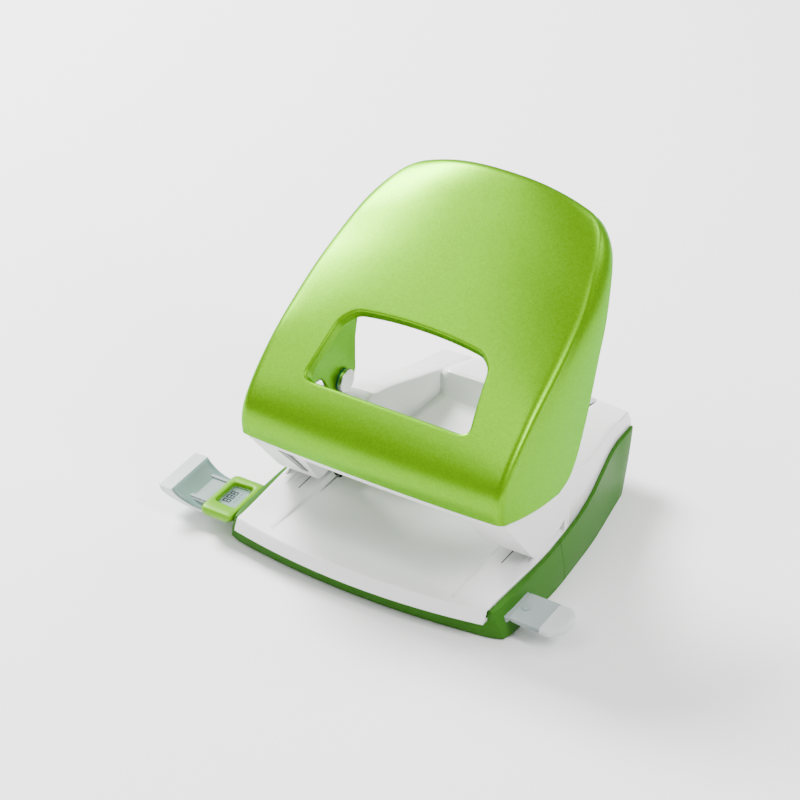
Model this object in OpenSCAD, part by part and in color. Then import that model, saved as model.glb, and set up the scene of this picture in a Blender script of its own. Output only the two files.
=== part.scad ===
// Two-hole desk punch: wedge base with a sloping paper table, a white housing with two
// punching units, and a pressed steel lever handle with a window in it.
// Origin: on the desk, on the mid plane, under the front corners of the paper table.
// +X right, +Y away from the user, +Z up. Millimetres.

/* [Hole pattern] */
// Distance between the two punched holes
hole_spacing = 80; // [70:1:86]
// Diameter of a punched hole
hole_d = 5.5; // [4.5:0.1:6]
// Distance from the paper edge to the hole centres
edge_distance = 12; // [10:0.5:14]
// Travel of a punch from rest to the bottom of its stroke
stroke = 7.9; // [7.8:0.1:8.2]
// Radial play of a punch or pin in its guide
running_gap = 0.05; // [0.02:0.01:0.1]

/* [Base] */
// Width of the base over its rim
rim_w = 114.6; // [112:0.2:136]
// Width of the base over its bottom edge, at the front
sole_w = 121; // [116:0.5:142]
// Width of the base at its rear edge
rear_w = 87; // [80:0.5:98]
// Distance from the front corners to the rear edge of the rim
base_l = 131; // [122:0.5:157]
// Height of the table's front corners above the desk
front_h = 13.5; // [12.5:0.5:20]
// Slope of the paper table, rising to the rear, in degrees
table_slope = 4; // [2:0.5:5]
// How far the front edge bows forward of its corners
front_bow = 5.6; // [2:0.2:8]
// Wall of the moulded base
base_wall = 2; // [1.5:0.1:3]
// Distance from the front corners to the seam of the chip flap
seam_y = 50; // [49:0.5:58]
// Height of the rubber pads under the base
pad_h = 1; // [0.8:0.1:2]

/* [Paper table] */
// Thickness of the paper table
table_t = 2; // [1.5:0.1:2.5]
// Distance from the front corners to the punch centres
punch_y = 46; // [45:0.5:47]
// Clear height of the paper slot
slot_h = 5.2; // [5:0.1:6]
// Half width of the lowered middle of the table
ramp_half = 35; // [28:0.5:36]
// How far the middle of the table drops at its rear
ramp_drop = 4; // [2:0.5:5]

/* [Housing] */
// Wall of the moulded housing
shell_wall = 1.8; // [1.5:0.1:2.2]
// Height of the rear edge of the housing above the table
tail_h = 6; // [5:0.5:10]
// Height of the front end of the two arms above the table
arm_h = 27.5; // [24:0.5:30]
// Half width of the well between the two arms
well_half = 30; // [26:0.5:32]

/* [Handle] */
// Thickness of the pressed steel handle
handle_t = 1.5; // [1.2:0.1:2]
// Angle that the handle swings down, in degrees
handle_swing = 17.3; // [17:0.1:17.6]
// Length of the window from its lower to its upper edge
window_l = 34; // [28:0.5:38]
// Diameter of the drive pins
drive_pin_d = 6; // [5:0.1:7]
// Diameter of the handle axles
axle_d = 6; // [5:0.1:7]

/* [Guide] */
// Width of the guide bar
bar_w = 17; // [14:0.5:18]
// Thickness of the guide bar
bar_t = 2.4; // [2:0.1:2.9]
// Distance from the middle to the face of the paper guide, pushed in
guide_x = 86.5; // [84:0.5:100]
// Travel of the guide bar
guide_travel = 62; // [30:1:64]

/* [Hidden] */
$fn = 48;
eps = 0.01;

// --- places that several pieces share; y and z are measured on the sloping table ---
punch_x = hole_spacing / 2;
stop_y = punch_y + edge_distance;
punch_r = hole_d / 2;
rim_z = -1;
play = 0.3;
// base
sole_front_y = 4;
sole_rear_y = base_l - 12;
floor_t = 1.6;
// depth of the table's front lip
lip_h = 4.8;
// housing
inset = 1.4;
house_half = rim_w / 2 - inset;
jaw_front_y = 28.5;
jaw_top_y = 10.5;
jaw_top_z = 30.5;
jaw_floor_t = 1.5;
arm_front_y = 57;
well_floor_z = 1.6;
cover_front_y = base_l - 24;
cover_rear_y = base_l - inset - shell_wall - 0.2;
// punching unit
frame_t = 1.5;
lower_guide_z = slot_h + jaw_floor_t;
upper_guide_z = 24.5;
plate_x = punch_x + 9;
unit_inner_x = punch_x - 6;
die_z = -table_t - frame_t;
plate_y = 27;
rest_tip_z = slot_h + 0.1;
// handle
axle_y = 20;
axle_z = 27;
pin_z = 43.4;
// the pins drop by the stroke while the handle swings down
pin_y = axle_y + (stroke - (pin_z - axle_z) * (1 - cos(handle_swing))) / sin(handle_swing);
punch_top_z = pin_z - drive_pin_d / 2 - 0.1;
clip_z = 22;
clip_t = 1;
ear_t = 1.6;
ear_x = punch_x - punch_r - 0.6 - ear_t;
lug_x = plate_x + frame_t + 0.4;
// spring
spring_wire = 1.1;
spring_r = punch_r + 0.45 + spring_wire / 2;
spring_turns = 4;
// guide
bar_y = 5.5;
bar_top_z = -4.6;
latch_x = rim_w / 2 + 2.5;
latch_l = 22;
stop_l = 24;
frame_w = 13;
// screws and their posts
screw_d = 3;
post_r = 3.4;
post_places = [[punch_x + 7, 30.5], [punch_x + 7.5, punch_y - 2.5]];
// chip flap
tongue_half = punch_x + 3;
tongue_y = 26.5;
flap_pin_d = 2.4;
flap_knuckle_r = 2.1;
flap_axis_y = tongue_y + flap_knuckle_r + 0.2;
flap_axis_z = pad_h + floor_t + flap_knuckle_r - 0.6;
flap_pin_x = 28;

// A height on the sloping table becomes a height above the desk
module on_table() {
    translate([0, 0, front_h]) rotate([table_slope, 0, 0]) children();
}

module both_sides() {
    children();
    mirror([1, 0, 0]) children();
}

// Extrude a side-view outline (y, z) from x0 to x1
module side(x0, x1) {
    translate([x0, 0, 0]) rotate([90, 0, 90]) linear_extrude(x1 - x0) children();
}

// --- plan outline of the base: wide in front, drawn in towards the rear ---
function narrowing(y, back) =
    let (t = max(0, y - 35) / (back - 35)) 1 - pow(1 - pow(min(1, t), 2.2), 1.6);
function half_at(y, front, rear, back) = front - (front - rear) * narrowing(y, back);
function outline(front, rear, y0, back, bow) = let (steps = 12, across = 8) concat(
    [for (i = [0:steps]) let (y = y0 + (back - y0) * i / steps)
        [half_at(y, front, rear, back), y]],
    [for (i = [steps:-1:0]) let (y = y0 + (back - y0) * i / steps)
        [-half_at(y, front, rear, back), y]],
    [for (i = [1:across - 1]) let (u = -1 + 2 * i / across)
        [front * u, y0 - bow * (1 - u * u)]]
);

// Plan of the rim, drawn in by a given amount all round
module rim_plan(in) {
    polygon(outline(rim_w / 2 - in, rear_w / 2 - in, in, base_l - in, front_bow));
}

module sole_plan(in) {
    polygon(outline(sole_w / 2 - in, rear_w / 2 + 4 - in, sole_front_y + in,
        sole_rear_y - in, front_bow));
}

// Solid wedge between the sole and the rim, drawn in by a given amount
module wedge(in, floor_z, top_z) {
    hull() {
        translate([0, 0, floor_z]) linear_extrude(eps) sole_plan(in);
        on_table() translate([0, 0, top_z]) linear_extrude(eps) rim_plan(in);
    }
}

module base_shell() {
    difference() {
        wedge(0, pad_h, rim_z);
        wedge(base_wall, pad_h + floor_t, rim_z + 1);
    }
}

module bar_slot() {
    on_table() translate([-rim_w, bar_y - play, bar_top_z - bar_t - play])
        cube([2 * rim_w, bar_w + 2 * play, bar_t + 2 * play]);
}

// Space of the flap's floor, which reaches forward under the punches
module tongue_space(gap) {
    // its front edge swings forward as the flap opens
    front = tongue_y - 1.6;
    translate([-tongue_half - gap, front, 0])
        cube([2 * (tongue_half + gap), seam_y - front + gap, pad_h + floor_t + eps + gap]);
}

// Hinge ear lying along X, standing on the floor at the flap's axis
module knuckle(w) {
    side(0, w) union() {
        translate([flap_axis_y, flap_axis_z]) circle(r = flap_knuckle_r);
        translate([flap_axis_y - flap_knuckle_r, pad_h + 0.2])
            square([2 * flap_knuckle_r, flap_axis_z - pad_h - 0.2]);
    }
}

// Green front half of the base: walls, floor, screw posts and the ears of the flap hinge
module base_front() {
    color("yellowgreen") difference() {
        union() {
            difference() {
                intersection() {
                    base_shell();
                    translate([-rim_w, -front_bow - 20, 0])
                        cube([2 * rim_w, seam_y + front_bow + 20, 60]);
                }
                tongue_space(play);
            }
            both_sides() {
                for (x = [flap_pin_x - 6, flap_pin_x + 4]) translate([x, 0, 0]) {
                    knuckle(2);
                    translate([0, tongue_y - 4, pad_h]) cube([2, 6, floor_t]);
                }
                intersection() {
                    for (p = post_places) translate([p[0], p[1], pad_h + 0.5])
                        cylinder(r = post_r, h = 40);
                    wedge(0.5, pad_h + 0.1, die_z - eps);
                }
            }
        }
        bar_slot();
        // the front lip of the paper table stands on the front wall
        on_table() intersection() {
            translate([0, 0, -lip_h - 0.1]) linear_extrude(20) table_plan(play);
            translate([-rim_w, -30, -30]) cube([2 * rim_w, 33, 60]);
        }
        both_sides() {
            translate([flap_pin_x - 10, flap_axis_y, flap_axis_z]) rotate([0, 90, 0])
                cylinder(d = flap_pin_d, h = 20);
            for (p = post_places) translate([p[0], p[1], -eps]) cylinder(d = screw_d, h = 40);
        }
    }
}

// Green rear half of the base: it swings down to empty the punched chips
module chip_flap() {
    color("yellowgreen") difference() {
        union() {
            intersection() {
                base_shell();
                translate([-rim_w, seam_y + play, 0]) cube([2 * rim_w, base_l, 60]);
            }
            translate([-tongue_half, tongue_y, pad_h])
                cube([2 * tongue_half, seam_y - tongue_y + 4, floor_t]);
            both_sides() translate([flap_pin_x - 3.6, 0, 0]) knuckle(7.2);
        }
        both_sides() translate([flap_pin_x - 10, flap_axis_y, flap_axis_z]) rotate([0, 90, 0])
            cylinder(d = flap_pin_d + 2 * running_gap, h = 20);
        both_sides() for (x = [flap_pin_x - 6.4, flap_pin_x + 3.6])
            translate([x, tongue_y - 1, 0]) cube([2.8, 2 * flap_knuckle_r + 3.4, 12]);
    }
}

module flap_pins() {
    color("silver") both_sides() translate([flap_pin_x - 6, flap_axis_y, flap_axis_z])
        rotate([0, 90, 0]) cylinder(d = flap_pin_d, h = 12);
}

module front_pad() {
    color("dimgray") linear_extrude(pad_h) intersection() {
        sole_plan(0.6);
        translate([-44, -10]) square([88, 20.5]);
    }
}

module rear_pads() {
    color("dimgray") both_sides() translate([24, sole_rear_y - 16, 0])
        linear_extrude(pad_h) square([16, 10]);
}

// Plan of the paper table: it reaches the front of the base, inside its side walls
module table_plan(gap) {
    in = base_wall + 1.3 - gap;
    intersection() {
        polygon(outline(rim_w / 2 - in, rear_w / 2 - in, -gap, base_l - in, front_bow));
        translate([-rim_w, -30]) square([2 * rim_w, 30 + stop_y]);
    }
}

// White paper table with a turned-down front lip and a lowered middle
module paper_table() {
    color("whitesmoke") on_table() difference() {
        union() {
            translate([0, 0, -table_t]) linear_extrude(table_t) table_plan(0);
            intersection() {
                translate([0, 0, -lip_h]) linear_extrude(lip_h - eps) difference() {
                    table_plan(0);
                    translate([0, table_t]) table_plan(0);
                }
                translate([-rim_w, -20, -20]) cube([2 * rim_w, 22, 40]);
            }
            side(-ramp_half - table_t, ramp_half + table_t) polygon([
                [3, -table_t + eps], [stop_y, -table_t + eps], [stop_y + 6, -table_t + eps],
                [stop_y + 6, -table_t - ramp_drop], [stop_y, -table_t - ramp_drop]
            ]);
        }
        side(-ramp_half, ramp_half) polygon([
            [3, eps], [stop_y, -ramp_drop], [stop_y + 0.4, -ramp_drop], [stop_y + 0.4, 1], [3, 1]
        ]);
        both_sides() translate([punch_x, punch_y, -10]) cylinder(r = punch_r + 0.6, h = 20);
    }
}

// Frame beside the table that shows the number on the guide bar
module scale_frame() {
    flare = (sole_w - rim_w) / 2;
    color("yellowgreen") on_table() difference() {
        // its inner side leans like the wall of the base
        translate([-rim_w / 2 - 0.1, bar_y + bar_w + 1, 0]) rotate([90, 0, 0])
            linear_extrude(bar_w + 7.5) polygon([
                [-frame_w, rim_z], [0, rim_z], [-flare, bar_top_z - bar_t - 0.8],
                [-frame_w, bar_top_z - bar_t - 0.8]
            ]);
        translate([-rim_w / 2 - frame_w - 1, bar_y - play, bar_top_z - bar_t - play])
            cube([frame_w + 3, bar_w + 2 * play, bar_t + 2 * play]);
        translate([-rim_w / 2 - frame_w + 3, bar_y + 1.5, bar_top_z])
            cube([frame_w - 5.5, bar_w - 5, 12]);
    }
}

module scale_lens() {
    color("lightblue") on_table() translate([-rim_w / 2 - frame_w + 3, bar_y + 1.5, bar_top_z + 1.2])
        cube([frame_w - 5.5, bar_w - 5, 1.2]);
}

// --- housing: two jaws over the paper, two arms running back, a well between them ---
function arm_top(y) = tail_h + (arm_h - tail_h) * (base_l - y) / (base_l - arm_front_y);

module house_plan(in) {
    rim_plan(inset + in);
}

module house_ring() {
    translate([0, 0, -10]) linear_extrude(70) difference() {
        house_plan(0);
        house_plan(shell_wall);
    }
}

module housing() {
    color("whitesmoke") on_table() difference() {
        union() {
            // outer side walls and rear wall
            intersection() {
                house_ring();
                side(-rim_w, rim_w) polygon([
                    [jaw_top_y, jaw_top_z], [jaw_front_y, slot_h], [stop_y + 0.1, slot_h],
                    [stop_y + 0.1, rim_z + 0.1], [base_l, rim_z + 0.1], [base_l, tail_h],
                    [arm_front_y, arm_h], [arm_front_y - 8, jaw_top_z]
                ]);
            }
            // sloping tops of the arms
            intersection() {
                linear_extrude(70) house_plan(0);
                both_sides() side(well_half, rim_w) polygon([
                    [arm_front_y, arm_h], [base_l, tail_h], [base_l, tail_h - shell_wall],
                    [arm_front_y, arm_h - shell_wall]
                ]);
            }
            // inner walls of the arms and their closed front ends
            both_sides() side(well_half, well_half + shell_wall) polygon([
                [stop_y + 2, well_floor_z], [base_l - inset, 0], [base_l - inset, tail_h],
                [arm_front_y, arm_h], [arm_front_y, arm_h - 14], [stop_y + 2, 8]
            ]);
            // floor of the well
            translate([-well_half - 1, stop_y + 2, 0])
                cube([2 * well_half + 2, base_l - stop_y - 2 - inset, well_floor_z]);
            // jaws: the sloping lead-in and the sole over the paper
            intersection() {
                linear_extrude(70) house_plan(0);
                both_sides() side(unit_inner_x - 1, rim_w) polygon([
                    [jaw_top_y, jaw_top_z], [jaw_front_y, slot_h], [stop_y, slot_h],
                    [stop_y, slot_h + jaw_floor_t], [jaw_front_y + 1, slot_h + jaw_floor_t],
                    [jaw_top_y + 1.84, jaw_top_z]
                ]);
            }
            // bar across the front, under the lip of the handle
            intersection() {
                linear_extrude(70) house_plan(0);
                side(-rim_w, rim_w) polygon([
                    [jaw_top_y, jaw_top_z], [jaw_top_y + 2.9, jaw_top_z - 4],
                    [jaw_top_y + 4.9, jaw_top_z - 4], [jaw_top_y + 3, jaw_top_z]
                ]);
            }
        }
        both_sides() translate([punch_x, punch_y, slot_h - 1]) cylinder(r = punch_r + 0.6, h = 6);
    }
}

// Middle of the tail, between the two arms
module rear_cover() {
    color("whitesmoke") on_table() difference() {
        side(-well_half + play, well_half - play) polygon([
            [cover_front_y, well_floor_z], [cover_front_y, arm_top(cover_front_y) - 2],
            [cover_front_y + 2, arm_top(cover_front_y + 2)], [cover_rear_y, arm_top(cover_rear_y)],
            [cover_rear_y, well_floor_z]
        ]);
        side(-well_half + play + shell_wall, well_half - play - shell_wall) polygon([
            [cover_front_y + shell_wall, well_floor_z - eps],
            [cover_front_y + shell_wall, arm_top(cover_front_y) - shell_wall - 2],
            [cover_rear_y - shell_wall, tail_h - shell_wall],
            [cover_rear_y - shell_wall, well_floor_z - eps]
        ]);
    }
}

// Steel strip at the back of the slot, where the paper edge comes to rest
module paper_stop() {
    color("silver") on_table() side(-unit_inner_x + 1, unit_inner_x - 1) polygon([
        [stop_y + 0.6, -table_t + eps], [stop_y + 1.4, -table_t + eps],
        [stop_y + 1.4, slot_h + 1], [stop_y + 0.6, slot_h + 1]
    ]);
}

// --- punching units: steel frames standing on the base plate behind the paper ---
// Steel plate under the table and the housing, with the two dies
module base_plate() {
    color("gainsboro") difference() {
        on_table() plate_blank();
        both_sides() for (p = post_places) translate([p[0], p[1], 0]) cylinder(d = screw_d, h = 40);
    }
}

module plate_blank() {
    difference() {
        intersection() {
            translate([0, 0, die_z]) linear_extrude(frame_t) rim_plan(base_wall + 1.2);
            translate([-rim_w, plate_y, -20]) cube([2 * rim_w, base_l - plate_y - 6, 40]);
        }
        translate([-ramp_half - table_t - 0.5, 0, -20])
            cube([2 * (ramp_half + table_t + 0.5), stop_y + 7, 40]);
        both_sides() {
            translate([punch_x, punch_y, -20]) cylinder(r = punch_r + running_gap, h = 40);
            translate([ramp_half - 12, base_l - 22, -20]) cylinder(d = 8, h = 40);
        }
    }
}

module frame_side_outline() {
    difference() {
        polygon([
            [stop_y + 12, -table_t], [stop_y + 12, 8], [punch_y + 8, 27],
            [axle_y + 8, axle_z + 5], [axle_y - 2, axle_z + 5], [axle_y - 5, axle_z],
            [axle_y - 0.5, axle_z - 5], [jaw_front_y + 3, lower_guide_z],
            [stop_y + 0.5, lower_guide_z], [stop_y + 0.5, -table_t]
        ]);
        translate([axle_y, axle_z]) circle(d = axle_d);
    }
}

module punch_frame() {
    on_table() difference() {
        union() {
            side(plate_x, plate_x + frame_t) frame_side_outline();
            translate([unit_inner_x, stop_y + 7.2, -table_t])
                cube([plate_x - unit_inner_x + 1, 5, frame_t]);
            translate([unit_inner_x, stop_y + 10.7, -table_t])
                cube([plate_x - unit_inner_x + 1, frame_t, 10]);
            translate([unit_inner_x, punch_y - 9, lower_guide_z])
                cube([plate_x - unit_inner_x + 1, 24, frame_t]);
            translate([unit_inner_x, punch_y - 7, upper_guide_z - frame_t])
                cube([plate_x - unit_inner_x + 1, 14, frame_t]);
        }
        translate([punch_x, punch_y, 0]) cylinder(r = punch_r + running_gap, h = 60);
    }
}

module punch_frame_right() {
    color("gainsboro") punch_frame();
}

module punch_frame_left() {
    color("gainsboro") mirror([1, 0, 0]) punch_frame();
}

// Bronze bushes on the lower guide plates
module guide_bushes() {
    color("goldenrod") both_sides() on_table()
        translate([punch_x, punch_y, lower_guide_z + frame_t]) difference() {
            cylinder(r = punch_r + 1.6, h = 1.2);
            translate([0, 0, -1]) cylinder(r = punch_r + running_gap, h = 4);
        }
}

module axle() {
    on_table() translate([plate_x - 2.5, axle_y, axle_z]) rotate([0, 90, 0]) {
        cylinder(d = axle_d + 2, h = 2.5);
        cylinder(d = axle_d, h = lug_x - plate_x + 2.5 + ear_t + 0.2);
    }
}

module axle_right() {
    color("silver") axle();
}

module axle_left() {
    color("silver") mirror([1, 0, 0]) axle();
}

module axle_clips() {
    color("dimgray") both_sides() on_table()
        translate([lug_x + ear_t + 0.2, axle_y, axle_z]) rotate([0, 90, 0])
            cylinder(d = axle_d + 2, h = 0.8);
}

// Screws up through the floor into the posts, holding the frames and the table
module frame_screws() {
    color("silver") both_sides() for (p = post_places) translate([p[0], p[1], pad_h]) {
        cylinder(d = screw_d, h = front_h + p[1] * sin(table_slope) + die_z + 1.2 - pad_h);
        translate([0, 0, -0.6]) cylinder(d = 5.4, h = 0.6);
    }
}

// --- punches ---
module punch() {
    on_table() translate([punch_x, punch_y, 0]) difference() {
        translate([0, 0, rest_tip_z]) cylinder(r = punch_r, h = punch_top_z - rest_tip_z);
        // hollow ground cutting end
        translate([0, 0, rest_tip_z - 1]) rotate([90, 0, 0])
            cylinder(r = punch_r * 0.8, h = 20, center = true);
    }
}

module punch_right() {
    color("silver") punch();
}

module punch_left() {
    color("silver") mirror([1, 0, 0]) punch();
}

module punch_clip() {
    on_table() translate([punch_x, punch_y, clip_z - clip_t]) difference() {
        cylinder(r = punch_r + 2, h = clip_t);
        translate([0, 0, -1]) cylinder(r = punch_r, h = 4);
    }
}

module punch_clip_right() {
    color("dimgray") punch_clip();
}

module punch_clip_left() {
    color("dimgray") mirror([1, 0, 0]) punch_clip();
}

// Return spring as a stack of rings, between the bush and the clip
spring_z0 = lower_guide_z + frame_t + 1.2;
spring_z1 = clip_z - clip_t;

module spring() {
    on_table() translate([punch_x, punch_y, 0]) {
        for (i = [0:spring_turns]) {
            z = spring_z0 + spring_wire / 2 + (spring_z1 - spring_z0 - spring_wire) * i / spring_turns;
            translate([0, 0, z]) rotate_extrude() translate([spring_r, 0]) circle(d = spring_wire, $fn = 16);
        }
        for (a = [0, 180]) rotate([0, 0, a]) translate([spring_r, 0, spring_z0 + spring_wire / 2])
            cylinder(d = spring_wire * 0.7, h = spring_z1 - spring_z0 - spring_wire, $fn = 16);
    }
}

module spring_right() {
    color("darkgray") spring();
}

module spring_left() {
    color("darkgray") mirror([1, 0, 0]) spring();
}

// --- handle: a pressed shell lofted through stations from its lower edge to its top ---
// Each row is [station, middle y, z, crease x, y, z, free edge x, y, z]
stations = [
    [0, 7.5, 32, 57, 9, 32.5, 59.2, 42, 28],
    [1, 5.5, 38, 56, 6.5, 37.5, 59.2, 49, 30],
    [2, 7, 45, 54.5, 7, 44, 59, 53.5, 33.5],
    [3, 12, 52.5, 53, 12.5, 51, 58.4, 58, 38.5],
    [4, 20, 61, 52, 21, 58, 57.4, 64, 47],
    [5, 31, 71, 51.2, 31, 65.3, 56.6, 69.5, 57],
    [6, 44, 81.5, 50.6, 44, 73.5, 55.4, 75, 67.5],
    [7, 58, 90.5, 49.6, 56.5, 82, 53.6, 81, 77],
    [8, 72, 99, 47.6, 69, 89.5, 51.6, 87, 86.5],
    [9, 86, 107.5, 44.6, 83, 98, 49, 94.5, 94],
    [10, 98, 114.5, 39, 97, 104.5, 45, 102, 97],
    [11, 104.5, 115.5, 31.5, 105, 106, 38, 109, 98],
    [12, 109, 108, 31.5, 109.5, 100, 36, 111, 96]
];
crown_steps = [0, 0.3, 0.55, 0.78, 0.92, 1];
wall_steps = [0.12, 0.4, 0.7, 1];
handle_half = rim_w / 2 + 1.9;
width_scale = handle_half / 59.2;

function mix(a, b, t) = a + (b - a) * t;
function shell_point(s, j) =
    let (n = len(crown_steps), k = abs(j), sgn = j < 0 ? -1 : 1,
        mid = [0, s[1], s[2]],
        crease = [s[3] * width_scale, s[4], s[5]],
        free_edge = [s[6] * width_scale, s[7], s[8]],
        p = k < n
            ? let (u = crown_steps[k], f = pow(u, 2.6))
                [crease[0] * u, mix(mid[1], crease[1], f), mix(mid[2], crease[2], f)]
            : mix(crease, free_edge, wall_steps[k - n]))
    [p[0] * sgn, p[1], p[2]];

half_n = len(crown_steps) + len(wall_steps) - 1;
row_n = 2 * half_n + 1;
function shell_grid() = [for (s = stations) [for (j = [-half_n:half_n]) shell_point(s, j)]];
function unit(v) = v / max(norm(v), 1e-6);
function grid_normal(g, i, j) =
    let (a = g[min(i + 1, len(g) - 1)][j] - g[max(i - 1, 0)][j],
        b = g[i][min(j + 1, row_n - 1)] - g[i][max(j - 1, 0)])
    unit(cross(b, a));

module handle_shell() {
    outer = shell_grid();
    rows = len(outer);
    inner = [for (i = [0:rows - 1]) [for (j = [0:row_n - 1])
        outer[i][j] - handle_t * grid_normal(outer, i, j)]];
    points = concat([for (r = outer) for (p = r) p], [for (r = inner) for (p = r) p]);
    size = rows * row_n;
    function at(i, j, layer) = layer * size + i * row_n + j;
    faces = concat(
        [for (i = [0:rows - 2]) for (j = [0:row_n - 2]) for (h = [0, 1]) h == 0
            ? [at(i, j, 0), at(i + 1, j, 0), at(i + 1, j + 1, 0)]
            : [at(i, j, 0), at(i + 1, j + 1, 0), at(i, j + 1, 0)]],
        [for (i = [0:rows - 2]) for (j = [0:row_n - 2]) for (h = [0, 1]) h == 0
            ? [at(i, j, 1), at(i + 1, j + 1, 1), at(i + 1, j, 1)]
            : [at(i, j, 1), at(i, j + 1, 1), at(i + 1, j + 1, 1)]],
        [for (i = [0:rows - 2]) for (e = [0, 1]) for (h = [0, 1]) let (j = e * (row_n - 1),
            q = [at(i, j, 0), at(i, j, 1), at(i + 1, j, 1), at(i + 1, j, 0)],
            t = h == 0 ? [q[0], q[1], q[2]] : [q[0], q[2], q[3]])
            e == 0 ? t : [t[2], t[1], t[0]]],
        [for (j = [0:row_n - 2]) for (e = [0, 1]) for (h = [0, 1]) let (i = e * (rows - 1),
            q = [at(i, j, 0), at(i, j + 1, 0), at(i, j + 1, 1), at(i, j, 1)],
            t = h == 0 ? [q[0], q[1], q[2]] : [q[0], q[2], q[3]])
            e == 0 ? t : [t[2], t[1], t[0]]]
    );
    polyhedron(points, faces);
}

// Window plane: low edge of the window, and the slope of the face there
window_y = 16;
window_z = 58;
face_slope = 42;

module window_outline() {
    low = 36.5 * width_scale;
    high = 32 * width_scale;
    r = 8;
    offset(r = r) offset(delta = -r) polygon([[-low, 0], [low, 0], [high, window_l - 2],
        [high / 2, window_l], [0, window_l + 1], [-high / 2, window_l], [-high, window_l - 2]]);
}

module ear_outline() {
    polygon([
        [19, 55.5], [28, 64], [40, 73], [43, 75.5], [46, 72], [50, 62], [52.5, 50],
        [52, pin_z - 2], [pin_y + 5, pin_z - 7], [pin_y - 1, pin_z - 8], [pin_y - 5, pin_z - 5],
        [34, 46], [29, 46], [24, 50]
    ]);
}

module handle() {
    color("yellowgreen") on_table() difference() {
        union() {
            difference() {
                handle_shell();
                translate([0, window_y, window_z]) rotate([face_slope, 0, 0])
                    translate([0, 0, -15]) linear_extrude(40) window_outline();
            }
            both_sides() side(ear_x, ear_x + ear_t) ear_outline();
        }
        translate([-ear_x - 3, pin_y, pin_z]) rotate([0, 90, 0])
            cylinder(d = drive_pin_d, h = 2 * ear_x + 6);
    }
}

// Steel lug inside each side of the handle, turning on the axle
module hinge_lug() {
    on_table() difference() {
        side(lug_x, lug_x + ear_t) union() {
            translate([axle_y, axle_z]) circle(d = axle_d + 2);
            polygon([
                [axle_y - axle_d / 2 - 1, axle_z], [axle_y + axle_d / 2 + 1, axle_z],
                [axle_y + 7, 45], [axle_y + 7, 57.5], [axle_y + 1, 53.5], [axle_y - 3, 50]
            ]);
        }
        translate([0, axle_y, axle_z]) rotate([0, 90, 0])
            cylinder(d = axle_d + 2 * running_gap, h = rim_w);
    }
}

module hinge_lug_right() {
    color("gainsboro") hinge_lug();
}

module hinge_lug_left() {
    color("gainsboro") mirror([1, 0, 0]) hinge_lug();
}

pin_head_t = 2.4;

module drive_pin() {
    on_table() translate([ear_x - pin_head_t, pin_y, pin_z]) rotate([0, 90, 0]) {
        cylinder(d = drive_pin_d + 3.4, h = pin_head_t);
        cylinder(d = drive_pin_d, h = pin_head_t + punch_x + 5.5 - ear_x);
    }
}

module drive_pin_right() {
    color("silver") drive_pin();
}

module drive_pin_left() {
    color("silver") mirror([1, 0, 0]) drive_pin();
}

module pin_collars() {
    color("silver") both_sides() on_table()
        translate([punch_x + 5.5, pin_y, pin_z]) rotate([0, 90, 0])
            cylinder(d = drive_pin_d + 3, h = 2);
}

// --- paper guide ---
rivet_d = 4;
stop_top_z = 0.5;
module guide_bar() {
    notches = 8;
    color("lightcyan") on_table() difference() {
        union() {
            translate([-guide_x - 2, bar_y, bar_top_z - bar_t])
                cube([guide_x + 2 + latch_x - running_gap, bar_w, bar_t]);
            translate([0, bar_y, bar_top_z - bar_t])
                cube([latch_x + lap - running_gap, bar_w, bar_t / 2]);
        }
        translate([latch_x + lap / 2, bar_y + bar_w / 2, bar_top_z - 20])
            cylinder(d = rivet_d, h = 40);
        for (i = [0:notches - 1])
            translate([-12 + i * guide_travel / (notches - 1), bar_y + 5, bar_top_z - bar_t - 1])
                cube([1.6, 7, 1.5]);
    }
}

module guide_stop() {
    color("aliceblue") on_table() translate([0, bar_y + bar_w + 3, 0]) rotate([90, 0, 0])
        linear_extrude(bar_w + 8.5) polygon([
            [-guide_x - 4.5, stop_top_z], [-guide_x + 1.3, stop_top_z],
            [-guide_x + 10.5, bar_top_z + eps], [-guide_x - 2, bar_top_z + eps]
        ]);
}

lap = 7;

// Grip at the right end of the bar: it laps over the bar and is riveted to it
module guide_latch() {
    color("lightcyan") on_table() difference() {
        translate([latch_x, bar_y, bar_top_z - bar_t]) cube([latch_l, bar_w, bar_t]);
        translate([latch_x - 1, bar_y - 1, bar_top_z - bar_t - 1])
            cube([lap + 1, bar_w + 2, bar_t / 2 + 1]);
        translate([latch_x + lap / 2, bar_y + bar_w / 2, bar_top_z - 20])
            cylinder(d = rivet_d, h = 40);
    }
}

module latch_rivet() {
    color("silver") on_table()
        translate([latch_x + lap / 2, bar_y + bar_w / 2, bar_top_z - bar_t])
            cylinder(d = rivet_d, h = bar_t);
}

// Leaf spring under the bar that clicks into its notches
module detent_spring() {
    color("silver") on_table() translate([-12, bar_y + 5, bar_top_z - bar_t - 0.7])
        cube([24, 7, 0.5]);
}

base_front();
chip_flap();
flap_pins();
front_pad();
rear_pads();
paper_table();
scale_frame();
scale_lens();
housing();
rear_cover();
paper_stop();
base_plate();
punch_frame_left();
punch_frame_right();
guide_bushes();
axle_left();
axle_right();
axle_clips();
frame_screws();
punch_left();
punch_right();
punch_clip_left();
punch_clip_right();
spring_left();
spring_right();
handle();
hinge_lug_left();
hinge_lug_right();
drive_pin_left();
drive_pin_right();
pin_collars();
guide_bar();
guide_stop();
guide_latch();
latch_rivet();
detent_spring();
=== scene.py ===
import math

import bmesh
import bpy
from mathutils import Matrix, Vector


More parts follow.
